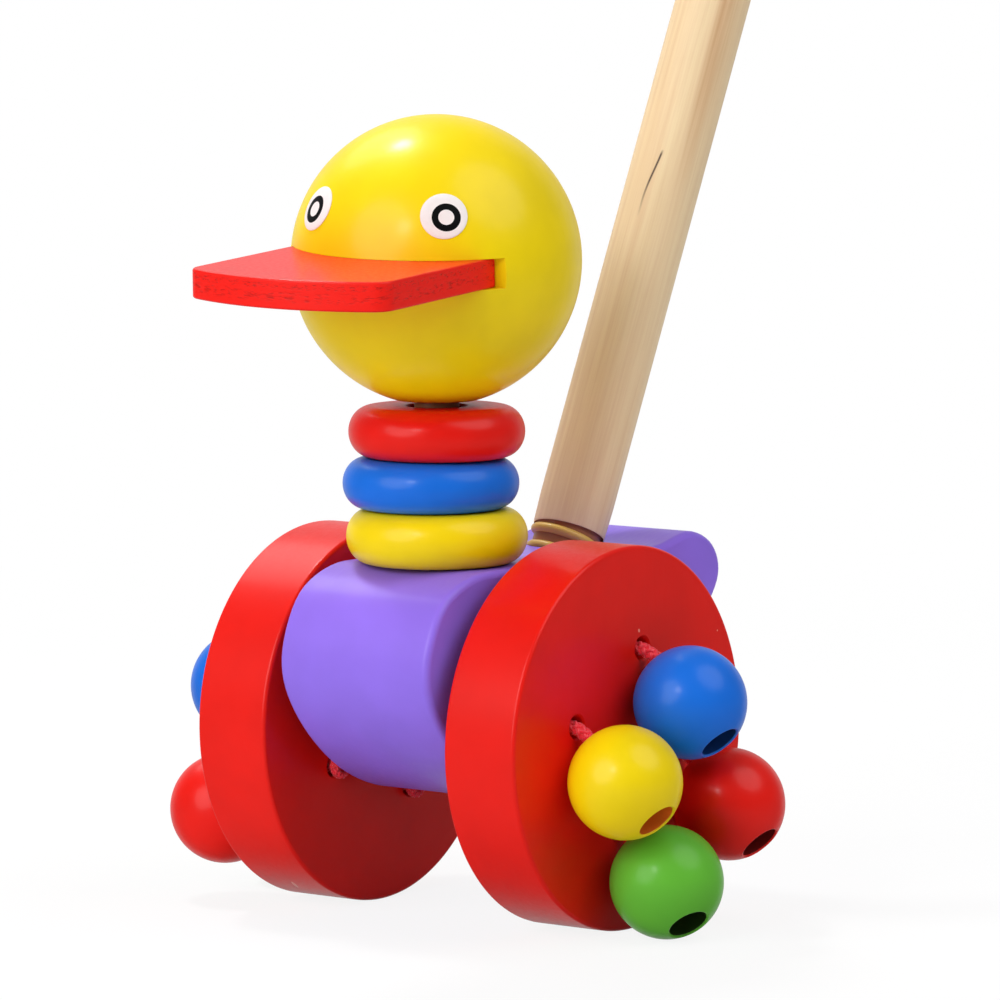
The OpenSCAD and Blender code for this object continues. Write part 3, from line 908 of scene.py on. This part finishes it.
class DUCK_TOY_OT_beads(bpy.types.Operator):
    """Turn the eight beads with their stepped bores"""

    bl_idname = "duck_toy.beads"
    bl_label = "Beads"

    def execute(self, context):
        size = sizes()
        radius = size.bead / 2
        lip = size.bead_edge
        wide = size.bead_bore / 2
        narrow = size.bead_eye / 2
        step = -radius / 8
        low = -math.degrees(math.acos((narrow + lip) / radius))
        high = math.degrees(math.acos((wide + lip) / radius))
        low_edge = radius * math.sin(math.radians(low)) + lip
        high_edge = radius * math.sin(math.radians(high)) - lip
        profile = arc((0, 0), radius, low, high, 60)
        profile += arc((wide + lip, high_edge), lip, 90, 180, 5)
        bore = len(profile) - 2
        profile += [(wide, step), (narrow, step)]
        profile += arc((narrow + lip, low_edge), lip, 180, 270, 5)[:-1]
        for name in SIDES:
            for shade in BEAD_COLOURS:
                label = f"{name}_{shade}"
                place, _, _ = bead_place(label)
                piece = turned(f"bead_{label}_turned", profile, place, closed=True)
                body = f"bead_{label}"
                finished(piece, place, body, f"{shade}_lacquer", turned_lacquer(shade), body)
                # Painted shade inside the bores: a darker copy of the bead's colour. In the yellow beads it is
                # orange, a painted reflection of the red cord.
                tint = getattr(colours(), f"{shade}_bore")
                painted_shade = lacquer(f"Bore stain, {shade}", tint, TURNED_GRAIN)
                part_painted(piece, painted_shade, lambda polygon: polygon.index // SEGMENTS >= bore)
        return {"FINISHED"}


def braid_tree():
    """Nodes that braid strands round a path: half wind each way and pass over and under the others."""
    tree = bpy.data.node_groups.new("Braided cord", "GeometryNodeTree")
    tree.interface.new_socket("Geometry", in_out="INPUT", socket_type="NodeSocketGeometry")
    for label in ("Diameter", "Lay"):
        tree.interface.new_socket(label, in_out="INPUT", socket_type="NodeSocketFloat")
    tree.interface.new_socket("Strands", in_out="INPUT", socket_type="NodeSocketInt")
    tree.interface.new_socket("Material", in_out="INPUT", socket_type="NodeSocketMaterial")
    tree.interface.new_socket("Geometry", in_out="OUTPUT", socket_type="NodeSocketGeometry")
    given = add_node(tree, "NodeGroupInput", {}).outputs

    def vectors(operation, **inputs):
        return add_node(tree, "ShaderNodeVectorMath", {"operation": operation}, **inputs).outputs["Vector"]

    curve = add_node(tree, "GeometryNodeMeshToCurve", {}, Mesh=given["Geometry"])
    even = add_node(
        tree, "GeometryNodeResampleCurve", {"mode": "LENGTH"}, Curve=curve.outputs["Curve"], Length=0.12 * MM
    )
    girth = add_node(
        tree, "GeometryNodeInputNamedAttribute", {"data_type": "FLOAT"}, Name="girth"
    ).outputs["Attribute"]
    across = maths(tree, "MULTIPLY", given["Diameter"], girth)
    copies = add_node(
        tree,
        "GeometryNodeDuplicateElements",
        {"domain": "SPLINE"},
        Geometry=even.outputs["Curve"],
        Amount=maths(tree, "MULTIPLY", given["Strands"], 2.0),
    )
    number = copies.outputs["Duplicate Index"]
    way = maths(tree, "MULTIPLY_ADD", maths(tree, "MODULO", number, 2.0), -2.0, 1.0)
    share = maths(tree, "DIVIDE", maths(tree, "FLOOR", maths(tree, "MULTIPLY", number, 0.5)), given["Strands"])
    run = add_node(tree, "GeometryNodeSplineParameter", {}).outputs["Length"]
    lay = maths(tree, "MULTIPLY", given["Lay"], girth)
    wound = maths(tree, "MULTIPLY", maths(tree, "DIVIDE", run, lay), math.tau)
    turn = maths(tree, "MULTIPLY_ADD", share, math.tau, maths(tree, "MULTIPLY", wound, way))
    crossing = maths(tree, "MULTIPLY", wound, given["Strands"])
    weave = maths(tree, "MULTIPLY", maths(tree, "COSINE", crossing), way)
    reach = maths(tree, "MULTIPLY", across, maths(tree, "MULTIPLY_ADD", weave, 0.06, 0.31))
    normal = add_node(tree, "GeometryNodeInputNormal", {}).outputs["Normal"]
    tangent = add_node(tree, "GeometryNodeInputTangent", {}).outputs["Tangent"]
    side = vectors("CROSS_PRODUCT", i0=tangent, i1=normal)
    ahead = vectors("SCALE", i0=normal, Scale=maths(tree, "MULTIPLY", reach, maths(tree, "COSINE", turn)))
    aside = vectors("SCALE", i0=side, Scale=maths(tree, "MULTIPLY", reach, maths(tree, "SINE", turn)))
    moved = add_node(
        tree,
        "GeometryNodeSetPosition",
        {},
        Geometry=copies.outputs["Geometry"],
        Offset=vectors("ADD", i0=ahead, i1=aside),
    )
    strand = add_node(tree, "GeometryNodeCurvePrimitiveCircle", {}, Resolution=7, Radius=0.5)
    yarns = add_node(
        tree,
        "GeometryNodeCurveToMesh",
        {},
        Curve=moved.outputs["Geometry"],
        Profile_Curve=strand.outputs["Curve"],
        Scale=maths(tree, "MULTIPLY", across, 0.27),
        Fill_Caps=True,
    )
    core = add_node(
        tree,
        "GeometryNodeCurveToMesh",
        {},
        Curve=even.outputs["Curve"],
        Profile_Curve=strand.outputs["Curve"],
        Scale=maths(tree, "MULTIPLY", across, 0.64),
        Fill_Caps=True,
    )
    both = add_node(tree, "GeometryNodeJoinGeometry", {})
    tree.links.new(yarns.outputs["Mesh"], both.inputs["Geometry"])
    tree.links.new(core.outputs["Mesh"], both.inputs["Geometry"])
    return end_tree(tree, both.outputs["Geometry"], given["Material"])


def filleted(corners, bend):
    """A path through the corners with each one rounded, and points along its straight runs."""
    path = [corners[0]]
    for before, corner, after in zip(corners, corners[1:], corners[2:]):
        inward = (corner - before).normalized()
        outward = (after - corner).normalized()
        turn = inward.angle(outward)
        if turn < 1e-3:
            path.append(corner)
            continue
        room = 0.48 * min((corner - before).length, (after - corner).length)
        cut = min(bend * math.tan(turn / 2), room)
        radius = cut / math.tan(turn / 2)
        centre = corner + (outward - inward).normalized() * (radius / math.cos(turn / 2))
        spin = inward.cross(outward).normalized()
        arm = corner - inward * cut - centre
        path += [centre + Quaternion(spin, turn * k / 8) @ arm for k in range(9)]
    path.append(corners[-1])
    full = [path[0]]
    for point in path[1:]:
        parts = max(1, round((point - full[-1]).length / (2.0 * MM)))
        start = full[-1]
        full += [start.lerp(point, k / parts) for k in range(1, parts + 1)]
    return full


def coil(centre, axis, radius, turns, rise):
    """A short coil round an axis: the wraps of a stopper knot."""
    place = place_along(centre, axis)
    count = round(turns * 24)
    points = []
    for k in range(count + 1):
        turn = math.tau * turns * k / count
        height = rise * (k / count - 0.5)
        points.append(place @ Vector((radius * math.cos(turn), radius * math.sin(turn), height)))
    return points


# Each knot: its distance along the cord, the radius, turns and rise of its wraps, and its share of the girth.
WHEEL_KNOT = (1.4 * MM, 1.6 * MM, 2.3, 1.1 * MM, 0.56)
BEAD_KNOT = (1.1 * MM, 1.9 * MM, 2.6, 2.0 * MM, 0.6)


class DUCK_TOY_OT_cords(bpy.types.Operator):
    """Braid the eight cords that hold the beads, with a knot at each end"""

    bl_idname = "duck_toy.cords"
    bl_label = "Cords"

    def execute(self, context):
        size = sizes()
        tree = braid_tree()
        yarn = braid("Braided nylon, red")
        for name, side in SIDES.items():
            centre, half = middle(f"wheel_{name}")
            inner = centre.x - side * half.x
            for shade in BEAD_COLOURS:
                label = f"{name}_{shade}"
                place, mouth, out = bead_place(label)
                knot = Vector((inner - side * WHEEL_KNOT[0], mouth.y, mouth.z))
                end = place.translation + out * BEAD_KNOT[0]
                eye = place.translation - out * (size.bead / 2)
                path = filleted([knot, mouth, eye, end], size.cord_bend)
                runs = [
                    (path, 1.0),
                    (coil(knot, (side, 0, 0), *WHEEL_KNOT[1:4]), WHEEL_KNOT[4]),
                    (coil(end, out, *BEAD_KNOT[1:4]), BEAD_KNOT[4]),
                ]
                mesh = bpy.data.meshes.new(f"cord_{label}_braid")
                points = [point for run, _ in runs for point in run]
                edges = []
                first = 0
                for run, _ in runs:
                    edges += [(first + k, first + k + 1) for k in range(len(run) - 1)]
                    first += len(run)
                mesh.from_pydata(points, edges, [])
                girth = mesh.attributes.new("girth", "FLOAT", "POINT")
                girth.data.foreach_set("value", [share for run, share in runs for _ in run])
                piece = bpy.data.objects.new(mesh.name, mesh)
                bpy.context.scene.collection.objects.link(piece)
                values = {
                    "Diameter": size.cord,
                    "Lay": size.cord_lay,
                    "Strands": size.strands,
                    "Material": yarn,
                }
                grown(piece, tree, values)
                marked(piece, place)
                painted(piece, yarn)
                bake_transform(piece)
                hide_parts(f"cord_{label}", f"tail_{label}")
        return {"FINISHED"}


# Stage

CAMERA_AT = Vector((0.688036, -0.989453, 0.192676))
CAMERA_TURN = (37.0676, 5.9706, -0.1009)
CAMERA_LENS = 230.59


def camera_axes():
    """The camera's right, up and backward directions."""
    round_, rise, roll = (math.radians(part) for part in CAMERA_TURN)
    back = Vector((math.sin(round_) * math.cos(rise), -math.cos(round_) * math.cos(rise), math.sin(rise)))
    right = Vector((math.cos(round_), math.sin(round_), 0))
    up = back.cross(right)
    c, s = math.cos(roll), math.sin(roll)
    return c * right + s * up, c * up - s * right, back


# Lamps: name, direction from the toy in the camera's own axes, distance, width, light level.
LAMPS = (
    ("Key softbox", (-0.67, 0.34, 0.66), 1.3, 1.10, 0.60),
    ("Fill softbox", (0.58, 0.72, 0.36), 1.3, 1.20, 0.50),
    ("Top softbox", (-0.28, 0.93, -0.24), 1.1, 0.18, 0.40),
    ("Back softbox", (-0.38, 0.80, -0.46), 1.4, 0.80, 0.20),
    ("Front lamp", (-0.40, 0.42, 0.82), 1.3, 0.22, 0.10),
)

# The spot that the lamps stand round.
TARGET = Vector((0, -0.07, 0.07))

# Light that the white room adds from all round, and that its far wall adds from behind the toy.
ROOM_LEVEL = 0.16
WALL_LEVEL = 0.7

# The paper floor: how white it is to other light and to the eye, the glow that it has near the toy, and the
# distances in metres between which it fades to the room's white.
PAPER_BOUNCE = 0.7
PAPER_SEEN = 0.9
FLOOR_GLOW = 0.87
FLOOR_FADE = (0.1, 0.5)


class DUCK_TOY_OT_stage(bpy.types.Operator):
    """Set the camera, the softboxes, the white room and the floor"""

    bl_idname = "duck_toy.stage"
    bl_label = "Stage"

    def execute(self, context):
        scene = context.scene
        right, up, back = camera_axes()
        lens = bpy.data.cameras.new("Camera")
        lens.lens = CAMERA_LENS
        lens.sensor_width = 36.0
        lens.clip_end = 50.0
        camera = bpy.data.objects.new("Camera", lens)
        turn = Matrix((right, up, back)).transposed().to_4x4()
        camera.matrix_world = Matrix.Translation(CAMERA_AT) @ turn
        scene.collection.objects.link(camera)
        scene.camera = camera
        for name, aim, distance, width, level in LAMPS:
            aim = (right * aim[0] + up * aim[1] + back * aim[2]).normalized()
            lamp = bpy.data.lights.new(name, "AREA")
            lamp.shape = "DISK"
            lamp.size = width
            lamp.energy = level * (math.pi * distance) ** 2
            softbox = bpy.data.objects.new(name, lamp)
            softbox.matrix_world = place_along(TARGET + aim * distance, aim)
            scene.collection.objects.link(softbox)
        self.room(scene)
        self.floor()
        scene.view_settings.view_transform = "Standard"
        return {"FINISHED"}

    def room(self, scene):
        """A white room that is plain white to the eye and lights the toy softly."""
        world = bpy.data.worlds.new("White room")
        world.use_nodes = True
        tree = world.node_tree
        ray = add_node(tree, "ShaderNodeLightPath", {}).outputs
        aim = add_node(tree, "ShaderNodeTexCoord", {}).outputs["Generated"]
        ahead = -camera_axes()[2]
        facing = add_node(tree, "ShaderNodeVectorMath", {"operation": "DOT_PRODUCT"}, i0=aim, i1=ahead)
        wall = mapped(tree, facing.outputs["Value"], 0.5, 0.9, ROOM_LEVEL, WALL_LEVEL, smooth=True)
        level = mapped(tree, ray["Is Camera Ray"], 0.0, 1.0, wall, 1.0)
        sky = tree.nodes["Background"]
        sky.inputs["Color"].default_value = (1, 1, 1, 1)
        tree.links.new(level, sky.inputs["Strength"])
        scene.world = world

    def floor(self):
        """A pale floor that fades to the room's white and keeps the toy's shadow."""
        mesh = bmesh.new()
        bmesh.ops.create_grid(mesh, x_segments=1, y_segments=1, size=4.0)
        floor = object_of("Floor", mesh)
        floor.location.z = -0.05 * MM
        floor.visible_glossy = False
        material, tree, shader = new_material("White paper floor")
        ray = add_node(tree, "ShaderNodeLightPath", {}).outputs
        paper = mapped(tree, ray["Is Camera Ray"], 0.0, 1.0, PAPER_BOUNCE, PAPER_SEEN)
        tree.links.new(paper, shader.inputs["Base Color"])
        shader.inputs["Roughness"].default_value = 0.9
        glow = add_node(tree, "ShaderNodeEmission", {}, Color=(1, 1, 1, 1), Strength=1.0)
        spot = add_node(tree, "ShaderNodeTexCoord", {}).outputs["Object"]
        away = add_node(tree, "ShaderNodeVectorMath", {"operation": "LENGTH"}, i0=spot)
        fade = mapped(tree, away.outputs["Value"], *FLOOR_FADE, FLOOR_GLOW, 1.0, smooth=True)
        share = maths(tree, "MULTIPLY", ray["Is Camera Ray"], fade)
        surfaces = {"i1": shader.outputs["BSDF"], "i2": glow.outputs["Emission"]}
        blend = add_node(tree, "ShaderNodeMixShader", {}, i0=share, **surfaces)
        tree.links.new(blend.outputs["Shader"], tree.nodes["Material Output"].inputs["Surface"])
        floor.data.materials.append(material)
        return floor


OPERATORS = (
    DUCK_TOY_OT_stage,
    DUCK_TOY_OT_body,
    DUCK_TOY_OT_wheels,
    DUCK_TOY_OT_neck,
    DUCK_TOY_OT_head,
    DUCK_TOY_OT_beak,
    DUCK_TOY_OT_eyes,
    DUCK_TOY_OT_handle,
    DUCK_TOY_OT_beads,
    DUCK_TOY_OT_cords,
)


class DUCK_TOY_PT_pieces(bpy.types.Panel):
    """Buttons that make each piece, and the sizes and colours they use"""

    bl_idname = "DUCK_TOY_PT_pieces"
    bl_label = "Duck Toy"
    bl_space_type = "VIEW_3D"
    bl_region_type = "UI"
    bl_category = "Duck Toy"

    def draw(self, context):
        for operator in OPERATORS:
            self.layout.operator(operator.bl_idname)
        for group in (context.scene.duck_toy_sizes, context.scene.duck_toy_colours):
            box = self.layout.box()
            for name in group.bl_rna.properties.keys():
                if name not in ("rna_type", "name"):
                    box.prop(group, name)


CLASSES = (DuckToySizes, DuckToyColours, *OPERATORS, DUCK_TOY_PT_pieces)


def register():
    for item in CLASSES:
        bpy.utils.register_class(item)
    bpy.types.Scene.duck_toy_sizes = PointerProperty(type=DuckToySizes)
    bpy.types.Scene.duck_toy_colours = PointerProperty(type=DuckToyColours)


def unregister():
    del bpy.types.Scene.duck_toy_colours
    del bpy.types.Scene.duck_toy_sizes
    for item in reversed(CLASSES):
        bpy.utils.unregister_class(item)


def main():
    register()
    for operator in OPERATORS:
        group, name = operator.bl_idname.split(".")
        getattr(getattr(bpy.ops, group), name)()


if __name__ == "__main__":
    main()
